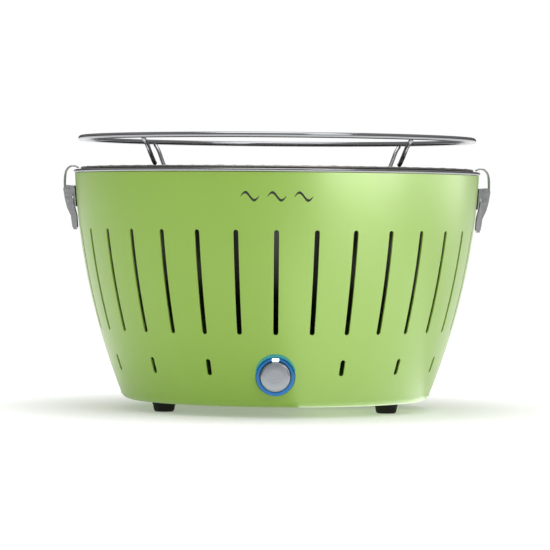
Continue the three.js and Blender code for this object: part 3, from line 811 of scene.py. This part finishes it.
class WrappedSheet:
    """A surface of revolution made of panels, some with a hole."""

    RINGS = 5  # rings of faces between a hole and its panel's edge
    SPREAD = 1.5  # how much the rings crowd towards the hole

    def __init__(self, radius_at: Callable[[float], float]) -> None:
        """Starts an empty sheet whose radius at each height is given, in millimetres."""
        self.radius_at = radius_at
        self.points: list[Point3] = []
        self.faces: list[tuple[int, ...]] = []

    def place(self, angle: float, z: float) -> Point3:
        """A point of the sheet in metres; angle 0 is the front."""
        r = self.radius_at(z) * MM
        return (r * math.sin(angle), -r * math.cos(angle), z * MM)

    def plain(self, centre: float, width: float, low: float, high: float, across: int, up: int) -> None:
        """Adds a panel with no hole; angles are in radians."""
        base = len(self.points)
        for j in range(up + 1):
            for i in range(across + 1):
                self.points.append(
                    self.place(centre + width * (i / across - 0.5), low + (high - low) * j / up)
                )
        row = across + 1
        for j in range(up):
            for i in range(across):
                a = base + j * row + i
                self.faces.append((a, a + 1, a + row + 1, a + row))

    def pierced(
        self,
        centre: float,
        width: float,
        low: float,
        high: float,
        hole: Opening,
        across: int,
        up: int,
        level: bool = False,
    ) -> None:
        """Adds a panel round one hole.

        Args:
            centre: Angle of the panel's middle, in radians.
            width: Its width, in radians.
            low: Its lowest height.
            high: Its highest height.
            hole: The hole.
            across: Steps along the top and bottom.
            up: Steps along each side.
            level: Whether the hole was cut straight from the front, rather than towards the axis.
        """
        edge: list[Point2] = [(width / 2, low + (high - low) * i / up) for i in range(up)]
        edge += [(width / 2 - width * i / across, high) for i in range(across)]
        edge += [(-width / 2, high - (high - low) * i / up) for i in range(up)]
        edge += [(-width / 2 + width * i / across, low) for i in range(across)]
        rim = []
        for x, z in hole.outline(across, up):
            ratio = x / self.radius_at(z)
            rim.append((math.asin(ratio) if level else ratio, z))
        base, count = len(self.points), len(edge)
        for k in range(self.RINGS + 1):
            t = (k / self.RINGS) ** self.SPREAD
            for (ax, az), (bx, bz) in zip(rim, edge):
                self.points.append(self.place(centre + ax + (bx - ax) * t, az + (bz - az) * t))
        for k in range(self.RINGS):
            for i in range(count):
                j = (i + 1) % count
                inner, outer = base + k * count, base + (k + 1) * count
                self.faces.append((inner + i, outer + i, outer + j, inner + j))

    def solid(self, name: str, wall_mm: float, edge_mm: float) -> bpy.types.Object:
        """The sheet as a piece with a wall inside its surface and softened edges."""
        piece = new_piece(name, mesh_from(name, self.points, self.faces, merge=2e-6))
        middle = piece.data.polygons[len(piece.data.polygons) // 3]
        facing = Vector((middle.center.x, middle.center.y, 0)).dot(middle.normal)
        wall = piece.modifiers.new("wall", "SOLIDIFY")
        wall.thickness = wall_mm * MM
        wall.offset = -1.0 if facing > 0 else 1.0
        soften(piece, edge_mm * MM, 2, 50)
        return piece


# ---------------------------------------------------------------- sub-assemblies


@dataclass
class OuterShell:
    """The painted bowl, its rim, its print and its feet."""

    arc_radius: float = 593.0
    arc_centre: Point2 = (-418.2, 232.5)
    floor: float = 8.56
    top: float = 201.8
    corner: float = 8.0
    corner_centre: float = 125.4
    wall: float = 1.5
    long_slots: int = 32
    long_slot: Opening = field(default_factory=lambda: Opening(2.05, 68.95, 154.75))
    short_slots: int = 16
    short_slot: Opening = field(default_factory=lambda: Opening(2.05, 34.75, 48.25))
    knob_hole: Opening = field(default_factory=lambda: Opening(16.25, 18.35, 50.85))
    body: str = "bowl_and_base"

    def radius_at(self, z: float) -> float:
        """Outer radius of the wall at a height, both in millimetres."""
        return self.arc_centre[0] + math.sqrt(self.arc_radius**2 - (z - self.arc_centre[1]) ** 2)

    def build(self) -> None:
        """Makes the shell and everything fixed to its outside."""
        self._bowl()
        self._rim()
        self._heat_marks()
        self._painted_knob_glow()
        self._feet()

    def _bowl(self) -> None:
        """The shell: bands of panels over a rounded base."""
        low_band, long_low, long_high = 14.4, 53.0, 164.0
        seam = long_low + 9
        sheet = WrappedSheet(self.radius_at)
        narrow, wide = 2 * math.pi / self.long_slots, 2 * math.pi / self.short_slots
        for i in range(self.long_slots):
            centre = i * narrow
            sheet.pierced(centre, narrow, seam, long_high, self.long_slot, 8, 24)
            sheet.plain(centre, narrow, long_low, seam, 8, 2)
            sheet.plain(centre, narrow, long_high, self.top, 8, 8)
        for i in range(self.short_slots):
            hole = self.knob_hole if i == 0 else self.short_slot
            sheet.pierced(i * wide, wide, low_band, long_low, hole, 16, 10, level=i == 0)
        self._base(sheet, low_band)
        piece = sheet.solid("painted_bowl", self.wall, 0.35)
        self._open_battery_bay(piece)
        finish_piece(piece, LIME_POWDER_COAT, self.body, "green_enamel", "outer_bowl")

    def _base(self, sheet: WrappedSheet, start: float) -> None:
        """Closes the sheet with the rounded corner and the flat floor."""
        segments = self.long_slots * 8
        centre_z = self.floor + self.corner
        rows = [(self.radius_at(start), start)]
        for degrees in (-22, -36, -50, -64, -78, -90):
            a = math.radians(degrees)
            rows.append(
                (self.corner_centre + self.corner * math.cos(a), centre_z + self.corner * math.sin(a))
            )
        rows[1] = ((rows[0][0] + rows[2][0]) / 2 + 0.5, (rows[0][1] + rows[2][1]) / 2)
        rows += [(r, self.floor) for r in (118.0, 100.0, 70.0, 35.0, 8.0)]
        base = len(sheet.points)
        shift = math.pi / self.long_slots
        for r, z in rows:
            for i in range(segments):
                a = 2 * math.pi * i / segments - shift
                sheet.points.append((r * MM * math.sin(a), -r * MM * math.cos(a), z * MM))
        for k in range(len(rows) - 1):
            for i in range(segments):
                j = (i + 1) % segments
                near, far = base + k * segments, base + (k + 1) * segments
                sheet.faces.append((near + i, far + i, far + j, near + j))
        last = base + (len(rows) - 1) * segments
        sheet.faces.append(tuple(last + i for i in range(segments)))

    def _open_battery_bay(self, piece: bpy.types.Object) -> None:
        """Cuts the battery bay's rectangle out of the floor."""
        low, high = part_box("battery_box")
        margin, cut_top = 3 * MM, 12 * MM
        corners = [
            (x, y, z)
            for x in (low[0] + margin, high[0] - margin)
            for y in (low[1] + margin, high[1] - margin)
            for z in (0.0, cut_top)
        ]
        faces = [(0, 1, 3, 2), (4, 6, 7, 5), (0, 4, 5, 1), (2, 3, 7, 6), (0, 2, 6, 4), (1, 5, 7, 3)]
        cutter = new_piece("bay_cutter", mesh_from("bay_cutter", corners, faces))
        cut = piece.modifiers.new("bay", "BOOLEAN")
        cut.operation = "DIFFERENCE"
        cut.solver = "EXACT"
        cut.object = cutter
        bpy.context.view_layer.update()
        mesh = bpy.data.meshes.new_from_object(piece.evaluated_get(bpy.context.evaluated_depsgraph_get()))
        piece.modifiers.clear()
        piece.data = mesh
        bpy.data.objects.remove(cutter)

    def _rim(self) -> None:
        """The bright rolled rim that caps the shell."""
        outline = rounded(
            [(168, 202.1), (174.0, 201.95), (RIM_RADIUS, 202.6), (RIM_RADIUS, 204.3), (174.2, RIM_TOP),
             (171.1, RIM_TOP)],
            0.7,
        )
        outline += rounded([(171.0, 203.1), (164.5, 203.1), (164.5, 202.1)], 0.3)
        piece = new_piece("rolled_rim", revolve("rolled_rim", outline, 192, closed=True))
        finish_piece(piece, BUFFED_RIM, self.body, "stainless", "rim_trim")

    def _painted_knob_glow(self) -> None:
        """A painted glow: a thin teal crescent laid on the paint above the ring, standing in for the ring's
        light on the edge of the knob's hole.
        """
        ring_radius, arch_radius, ring_z, arch_z = 16.1, 16.7, KNOB_AXIS, 36.6
        steps, half_angle = 32, math.radians(78)
        proud, flush = 0.05, 0.01
        points: list[Point3] = []
        for i in range(steps + 1):
            turn = half_angle * (2 * i / steps - 1)
            for lift, radius, middle in (
                (proud, arch_radius, arch_z), (proud, ring_radius, ring_z),
                (flush, ring_radius, ring_z), (flush, arch_radius, arch_z),
            ):
                x, z = radius * math.sin(turn), middle + radius * math.cos(turn)
                r = self.radius_at(z) + lift
                points.append((x * MM, -math.sqrt(r * r - x * x) * MM, z * MM))
        # The crescent is painted light: a lit-looking sheet on the paint, not a lamp.
        piece = new_piece("painted_glow_crescent", mesh_from("painted_glow_crescent", points, tube_faces(0, steps, 4)))
        finish_piece(piece, PAINTED_RING_GLOW, self.body, "light_ring")

    def _heat_marks(self) -> None:
        """Three plain printed heat waves where a maker would put a mark."""
        middle, height, length, stroke = 182.0, 3.2, 15.0, 1.3
        points: list[Point3] = []
        faces: list[tuple[int, ...]] = []
        thin_end = 0.35
        steps, proud, flush = 40, 0.06, 0.01
        for centre in (-22.0, 0.0, 22.0):
            base = len(points)
            for i in range(steps + 1):
                t = i / steps
                x = centre + (t - 0.5) * length
                z = middle + height * math.sin(2 * math.pi * t)
                taper = stroke * (thin_end + (1 - thin_end) * math.sin(math.pi * t))
                for lift, edge in ((proud, 1), (proud, -1), (flush, -1), (flush, 1)):
                    height_here = z + edge * taper
                    r = self.radius_at(height_here) + lift
                    a = x / r
                    points.append((r * MM * math.sin(a), -r * MM * math.cos(a), height_here * MM))
            faces += tube_faces(base, steps, 4)
        piece = new_piece("printed_heat_waves", mesh_from("printed_heat_waves", points, faces))
        finish_piece(piece, PRINTED_INK, self.body, "black_plastic")

    def _feet(self) -> None:
        """Rubber pads with a ribbed side, and their screws."""
        for node in ("foot_front_right", "foot_front_left", "foot_rear"):
            low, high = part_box(node)
            x, y = (low[0] + high[0]) / 2, (low[1] + high[1]) / 2
            outline = rounded(
                [(3.2, 5.5), (3.2, 0.0), (7.4, 0.0), (8.55, 1.2), (9.2, 4.4), (9.0, 4.7), (9.3, 5.0),
                 (10.05, 7.6), (10.05, 8.26), (1.8, 8.26), (1.8, 5.5)], 0.5,
            )
            mesh = revolve(node + "_pad", outline, 64, closed=True)
            mesh.transform(Matrix.Translation((x, y, 0)))
            finish_piece(new_piece(node + "_pad", mesh), MOULDED_RUBBER, self.body, "black_rubber", node)
            dress_node(node.replace("foot", "foot_screw"), NICKEL_SPRING_STEEL, 0.15)


@dataclass
class ControlKnob:
    """The fan's knob in its lit ring."""

    height: float = KNOB_AXIS
    ribs: int = 7
    rib_pitch: float = 0.85
    body: str = "bowl_and_base"

    def build(self) -> None:
        """Makes the switch housing, the lit ring, the lamp and the knob."""
        ring = rounded(
            [(12.8, -139.5), (15.9, -139.5), (15.9, -140.4), (15.1, -141.0), (13.2, -141.0), (12.8, -140.6)],
            0.4
        )
        self._turned("lit_ring", ring, True, LIT_BLUE_ACRYLIC, self.body, "light_ring", "light_ring")
        skirt = [(0, -139.8), (12.0, -139.8)]
        for i in range(self.ribs):
            y = -140.4 - i * self.rib_pitch
            skirt += [(12.2, y), (12.2, y - 0.45), (12.05, y - 0.6)]
        skirt += [(12.15, -146.4), (11.7, -146.95), (11.3, -147.0), (0, -147.0)]
        skirt = rounded(skirt, 0.25, 3)
        self._turned("knurled_knob", skirt, False, TURNED_ALUMINIUM, "knob", "knob_aluminium", "control_knob")
        cap = rounded(
            [(0, -147.05), (11.2, -147.05), (11.45, -147.5), (11.0, -147.95), (6, -148.05), (0, -148.05)],
            0.3, 4
        )
        self._turned("knob_face", cap, False, TURNED_ALUMINIUM, "knob", "knob_aluminium", "knob_cap")
        dress_node("knob_shaft", NICKEL_SPRING_STEEL, 0.2)
        dress_node("switch_housing", MOULDED_ABS, 0.3)
        dress_node("indicator_led", LIT_WHITE_ACRYLIC, 0.4)
        dress_node("control_board", SOLDER_MASK, 0.1)

    def _turned(
        self, name: str, outline: list[Point2], closed: bool, finish: Finish, body: str, slot: str, node: str
    ) -> None:
        """One piece turned about the knob's axis."""
        mesh = revolve(name, outline, 96, closed, "y", self.height)
        finish_piece(new_piece(name, mesh), finish, body, slot, node)


@dataclass
class FirePot:
    """The lift-out inner bowl, ignition dish, charcoal basket and lid."""

    def build(self) -> None:
        """Makes the stainless pieces that hold the fire."""
        inside = [(170, 203.4), (170, 204.6), (162.2, 204.6), (160.6, 190), (156.4, 165), (146, 137),
                  (127, 107), (98, 86), (68, 77.5), (30, 77.5)]
        outside = [(30, 76), (67.6, 76), (98.9, 84.6), (128.2, 105.8), (147.4, 136.3), (157.9, 164.6),
                   (162.1, 190), (163.4, 203.4)]
        shell = revolve("inner_bowl_shell", rounded(inside, 12, 6) + rounded(outside, 12, 6), 144, True)
        pot = new_piece("inner_bowl_shell", shell)
        finish_piece(pot, HEAT_TINT_AND_SHADE_STAINLESS, "inner_bowl", "stainless", "inner_bowl")
        dish = [(14, 77.9), (42, 77.9), (46, 92.9), (44.8, 92.9), (40.8, 79.1), (14, 79.1)]
        self._turned("ignition_cup", rounded(dish, 1.0), 96, True, "ignition_dish", "ignition_dish")
        self._basket()
        lid = [(0, 150.3), (62.5, 150.3), (62.5, 144.3), (63.6, 144.3), (63.6, 151.4), (62.8, 151.7),
               (40, 151.7), (38, 151.3), (20, 151.3), (18, 151.7), (0, 151.7)]
        self._turned("basket_cover", rounded(lid, 0.8), 96, False, "basket_lid", "basket_lid")
        grip = [(0, 152.0), (4, 152.0), (3.4, 156), (9, 159), (9, 161), (6, 164), (0, 164)]
        self._turned("cover_grip", rounded(grip, 1.6), 48, False, "basket_lid", "lid_handle")

    def _basket(self) -> None:
        """The basket: a wall with rows of round holes, pressed over a plain base."""
        radius, low, high, columns = 62.0, 93.2, 150.0, 48
        hole, pitch, margin, row_count = 2.2, 8.4, 3, 6
        sheet = WrappedSheet(lambda z: radius)
        step = 2 * math.pi / columns
        rows = [(low + margin + pitch * i, low + margin + pitch * (i + 1)) for i in range(row_count)]
        for i in range(columns):
            for bottom, top in rows:
                middle = (bottom + top) / 2
                sheet.pierced(i * step, step, bottom, top, Opening(hole, middle - hole, middle + hole), 2, 2)
            sheet.plain(i * step, step, low, rows[0][0], 2, 1)
            sheet.plain(i * step, step, rows[-1][1], high, 2, 1)
        piece = sheet.solid("pierced_basket", 1.2, 0.15)
        finish_piece(piece, SPUN_STAINLESS, "charcoal_basket", "stainless", "charcoal_basket")
        base = [(0, 93.2), (60.2, 93.2), (60.2, 94.7), (0, 94.7)]
        self._turned("basket_base", rounded(base, 0.4), 96, False, "charcoal_basket", "basket_floor")

    def _turned(
        self, name: str, outline: list[Point2], segments: int, closed: bool, body: str, node: str
    ) -> None:
        """One stainless piece turned about the grill's axis."""
        mesh = revolve(name, outline, segments, closed)
        finish_piece(new_piece(name, mesh), SPUN_STAINLESS, body, "stainless", node)


@dataclass
class CookingGrate:
    """The woven grate with its heat shield and the rod ring on four legs."""

    pitch: float = 11.5
    wire: float = 0.68
    rim_radius: float = 168.2
    body: str = "grate"

    def build(self) -> None:
        """Makes the weave, its rim, the shield, the ring and the legs."""
        weave = woven_wires(169.0, 206.3, self.pitch, self.wire, CRIMPED_WIRE)
        finish_piece(new_piece("woven_grate", weave), CRIMPED_WIRE, self.body, "stainless", "grate_mesh")
        rim = rod_ring("grate_rim_rod", self.rim_radius, 0.95, 206.2, CRIMPED_WIRE)
        finish_piece(new_piece("grate_rim_wire", rim), CRIMPED_WIRE, self.body, "stainless", "grate_rim")
        dome = [(0, 199.2), (30, 199.4), (50, 201.2), (55, 203.4), (55, 204.6), (53.6, 204.3), (49, 202.2),
                (30, 200.5), (0, 200.4)]
        shield = revolve("dished_shield", rounded(dome, 3.0), 96)
        finish_piece(
            new_piece("dished_shield", shield), SPUN_STAINLESS, self.body, "stainless", "heat_shield"
        )
        ring = rod_ring("upper_ring_rod", 169.0, 2.3, 231.95, ELECTROPOLISHED_ROD)
        finish_piece(
            new_piece("polished_ring", ring), ELECTROPOLISHED_ROD, self.body, "polished_wire", "upper_ring"
        )
        for i, angle in enumerate((-49.0, 49.0, 131.0, 229.0), 1):
            self._leg(i, math.radians(angle))

    def _leg(self, number: int, angle: float) -> None:
        """One leg, which rises from the grate and leans out to the ring."""
        side = [(153.4, 208.7), (155.0, 210.4), (158.4, 216.0), (163.2, 224.5), (168.0, 229.6)]
        corners = [(r * math.cos(angle), r * math.sin(angle), z) for r, z in side]
        mesh = sweep(f"bent_leg_{number}", smooth_route(corners, 5.0), 1.8 * MM)
        finish_piece(
            new_piece(f"bent_leg_{number}", mesh), ELECTROPOLISHED_ROD, self.body, "polished_wire",
            f"ring_leg_{number}"
        )


@dataclass
class Latch:
    """One toggle latch; sign is 1 at +X and -1 at -X."""

    side: str
    sign: int
    thickness: float = 1.4
    half_width: float = 5.3
    corner: float = 0.35

    def build(self) -> None:
        """Dresses the pressed plates and makes the smooth hook and the rivets."""
        for part in ("latch_bracket", "latch_lever", "latch_pivot_pin", "hook_pin"):
            dress_node(f"{part}_{self.side}", NICKEL_SPRING_STEEL, 0.3)
        self._hook()
        places = []
        for number in (1, 2):
            low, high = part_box(f"bracket_rivet_{self.side}_{number}")
            inner = low[0] if self.sign > 0 else high[0]
            places.append((inner + 0.3 * MM * self.sign, (low[1] + high[1]) / 2, (low[2] + high[2]) / 2))
        heads = domed_heads(
            f"rivet_heads_{self.side}", places, (self.sign, 0, -0.09), 2.3, NICKEL_SPRING_STEEL
        )
        finish_piece(
            new_piece(f"rivet_heads_{self.side}", heads), NICKEL_SPRING_STEEL, "bowl_and_base", "latch_steel",
            f"bracket_rivet_{self.side}_1", f"bracket_rivet_{self.side}_2",
        )

    def _hook(self) -> None:
        """The hook: a flat band that curls over the rim from a rolled eye."""
        eye = (178.8, 179.6)
        eye_radius = 2.25
        turns = [math.radians(a) for a in range(-250, 20, 15)]
        loop = [(eye[0] + eye_radius * math.cos(a), eye[1] + eye_radius * math.sin(a)) for a in turns]
        arm = rounded(
            [(182.0, 183.4), (183.05, 188.5), (183.0, 198.0), (181.9, 203.8), (178.8, 207.5), (174.8, 208.2),
             (171.4, 206.6)],
            4.0, 5,
        )
        route = [Vector((x, z)) for x, z in loop + arm]
        points: list[Point3] = []
        half, w, c = self.thickness / 2, self.half_width, self.corner
        section = [
            (-half + c, -w), (half - c, -w), (half, -w + c), (half, w - c),
            (half - c, w), (-half + c, w), (-half, w - c), (-half, -w + c),
        ]
        for i, here in enumerate(route):
            ahead = route[min(i + 1, len(route) - 1)] - route[max(i - 1, 0)]
            normal = Vector((-ahead.y, ahead.x)).normalized()
            for out, y in section:
                p = here + normal * out
                points.append((p.x * MM * self.sign, y * MM, p.y * MM))
        name = f"curled_hook_{self.side}"
        piece = new_piece(name, mesh_from(name, points, tube_faces(0, len(route) - 1, len(section))))
        soften(piece, 0.15 * MM, 2, 40)
        finish_piece(
            piece, NICKEL_SPRING_STEEL, f"hook_{self.side}", "latch_steel", f"latch_hook_{self.side}"
        )


@dataclass
class FanUnit:
    """The fan, its motor, its batteries and their cover."""

    def build(self) -> None:
        """Dresses the pieces inside the base."""
        for node in ("fan_housing", "fan_impeller", "battery_box", "battery_cover", "wire_harness"):
            dress_node(node, MOULDED_ABS, 0.3 if node != "wire_harness" else 0.0)
        dress_node("fan_motor", ZINC_PLATE, 0.4)
        dress_node("motor_shaft", NICKEL_SPRING_STEEL, 0.2)
        for i in range(1, 5):
            dress_node(f"battery_{i}", SHRINK_SLEEVE, 0.3)


# ---------------------------------------------------------------- studio


@dataclass
class Studio:
    """A pale sweep, soft lights and the camera."""

    camera_place: Point3 = (-0.0010, -2.6584, 0.1665)
    pitch: float = 0.0193
    roll: float = 0.0082
    lens: float = 201.5
    sensor: float = 36.0
    farthest: float = 50.0
    card_place: Point3 = (0.33, -0.31, 0.003)
    card_size: float = 0.62
    card_power: float = 1.9
    softboxes: list[bpy.types.Object] = field(default_factory=list)

    def build(self) -> None:
        """Makes the floor, the lights, the world and the camera."""
        sheet = mesh_from("studio_floor", self._floor_points(), [(0, 1, 2, 3)], outward=False)
        floor = new_piece("studio_floor", sheet)
        floor.data.materials.append(self._floor_material())
        self._world()
        self._area("key_light", (1.2, -2.0, 1.5), 1.1, 7.0)
        self._area("top_light", (0.0, -0.2, 2.2), 1.6, 18.0)
        for name, place, size, power in (
            ("front_softbox", (1.41, -1.27, 0.7), 1.85, 125.0),
            ("side_softbox", (1.9, 0.35, 0.8), 2.2, 62.0),
        ):
            softbox = self._area(name, place, size, power)
            softbox.visible_diffuse = False
            self.softboxes.append(softbox)
        card = self._area("floor_bounce_card", self.card_place, self.card_size, self.card_power)
        card.rotation_euler = (math.pi, 0.0, 0.0)
        card.visible_diffuse = False
        self.softboxes.append(card)
        camera = bpy.data.objects.new("camera", bpy.data.cameras.new("camera"))
        bpy.context.scene.collection.objects.link(camera)
        camera.data.lens = self.lens
        camera.data.sensor_width = self.sensor
        camera.data.clip_end = self.farthest
        turn = Matrix.Rotation(math.pi / 2 - self.pitch, 4, "X") @ Matrix.Rotation(self.roll, 4, "Z")
        camera.matrix_world = Matrix.Translation(self.camera_place) @ turn
        bpy.context.scene.camera = camera
        bpy.context.scene.view_settings.view_transform = "Standard"

    def sheen_only_on(self, pieces: Sequence[bpy.types.Object]) -> None:
        """Keeps the softboxes' sheen to some pieces, so that bright metal doesn't mirror them.

        Args:
            pieces: The pieces that the softboxes light.
        """
        group = bpy.data.collections.new("softbox_receivers")
        for piece in pieces:
            group.objects.link(piece)
        for softbox in self.softboxes:
            softbox.light_linking.receiver_collection = group

    @staticmethod
    def _floor_points() -> list[Point3]:
        """The corners of a floor that runs past every view."""
        reach = 12.0
        return [(-reach, -reach, 0.0), (reach, -reach, 0.0), (reach, reach, 0.0), (-reach, reach, 0.0)]

    @staticmethod
    def _floor_material() -> bpy.types.Material:
        """Matt white paper with a faint tooth, which gives off light, least of it under the grill, where the
        dimmer glow is a painted shadow.
        """
        paper = Finish(
            "white_paper_sweep", "d2d2d2", "d8d8d8", 0.9, grain_mm=1.5, grain_depth_mm=0.01, mottle_mm=300,
            glow="ffffff",
        )
        material = paper.material()
        tree = material.node_tree
        place = add_node(tree, "ShaderNodeTexCoord").outputs["Object"]
        away = add_node(tree, "ShaderNodeVectorMath", {0: place}, operation="LENGTH").outputs["Value"]
        near, far = 0.08, 0.36  # metres from the middle of the grill
        painted_shadow_glow, open_floor = 0.27, 0.72
        # Painted shadow: the floor glows less near the grill, standing in for the grill's shadow on it.
        light = add_node(
            tree,
            "ShaderNodeMapRange",
            {"Value": away, "From Min": near, "From Max": far, "To Min": painted_shadow_glow, "To Max": open_floor},
            interpolation_type="SMOOTHSTEP",
        ).outputs["Result"]
        shader = next(n for n in tree.nodes if n.type == "BSDF_PRINCIPLED")
        tree.links.new(light, shader.inputs["Emission Strength"])
        return material

    @staticmethod
    def _world() -> None:
        """A white surround that lights evenly and is darker near the floor where it is mirrored."""
        world = bpy.data.worlds.new("white_surround")
        world.use_nodes = True
        tree = world.node_tree
        ray = add_node(tree, "ShaderNodeLightPath").outputs
        fill, sky_low, sky_high = 0.44, 0.04, 0.36
        from_height, to_height = -0.1, 0.6

        def combine(operation: str, first: object, second: object) -> bpy.types.NodeSocket:
            """Joins two values with one sum or product."""
            return add_node(tree, "ShaderNodeMath", {0: first, 1: second}, operation=operation).outputs[0]

        diffuse = combine("MULTIPLY", ray["Is Diffuse Ray"], fill)
        up = add_node(tree, "ShaderNodeTexCoord").outputs["Generated"]
        height = add_node(tree, "ShaderNodeSeparateXYZ", {"Vector": up}).outputs["Z"]
        sky = add_node(
            tree,
            "ShaderNodeMapRange",
            {
                "Value": height, "From Min": from_height, "From Max": to_height, "To Min": sky_low,
                "To Max": sky_high,
            },
        ).outputs["Result"]
        gloss = combine("MULTIPLY", ray["Is Glossy Ray"], sky)
        seen = combine("ADD", ray["Is Camera Ray"], diffuse)
        strength = combine("ADD", seen, gloss)
        background = tree.nodes["Background"]
        background.inputs["Color"].default_value = (1.0, 1.0, 1.0, 1.0)
        tree.links.new(strength, background.inputs["Strength"])
        bpy.context.scene.world = world

    @staticmethod
    def _area(name: str, place: Point3, size: float, power: float) -> bpy.types.Object:
        """A square soft light that faces the grill.

        Args:
            name: The light's name.
            place: Where it stands, in metres.
            size: The side of the square, in metres.
            power: Its power, in watts.

        Returns:
            The light.
        """
        data = bpy.data.lights.new(name, "AREA")
        data.size = size
        data.energy = power
        light = bpy.data.objects.new(name, data)
        light.location = place
        target = Vector((0, 0, 0.12))
        aim = target - Vector(place)
        light.rotation_euler = aim.to_track_quat("-Z", "Y").to_euler()
        light.visible_camera = False
        bpy.context.scene.collection.objects.link(light)
        return light


def check_nodes_dressed(names: Iterable[str]) -> None:
    """Reports any CAD node that still shows a plain material.

    Args:
        names: The nodes' names.
    """
    finishes = {m.name for m in bpy.data.materials if m.use_nodes}
    for name in names:
        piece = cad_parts[name]
        if not piece.hide_render and not any(m and m.name in finishes for m in piece.data.materials):
            log.warning("%s has no finish", name)


def main() -> None:
    """Builds the grill, piece by piece."""
    logging.basicConfig(level=logging.INFO, format="%(name)s %(message)s")
    studio = Studio()
    studio.build()
    parts = (
        OuterShell(), ControlKnob(), FirePot(), CookingGrate(), Latch("right", 1), Latch("left", -1),
        FanUnit(),
    )
    for part in parts:
        part.build()
    studio.sheen_only_on([bpy.data.objects["painted_bowl"]])
    check_nodes_dressed(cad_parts)


if __name__ == "__main__":
    main()
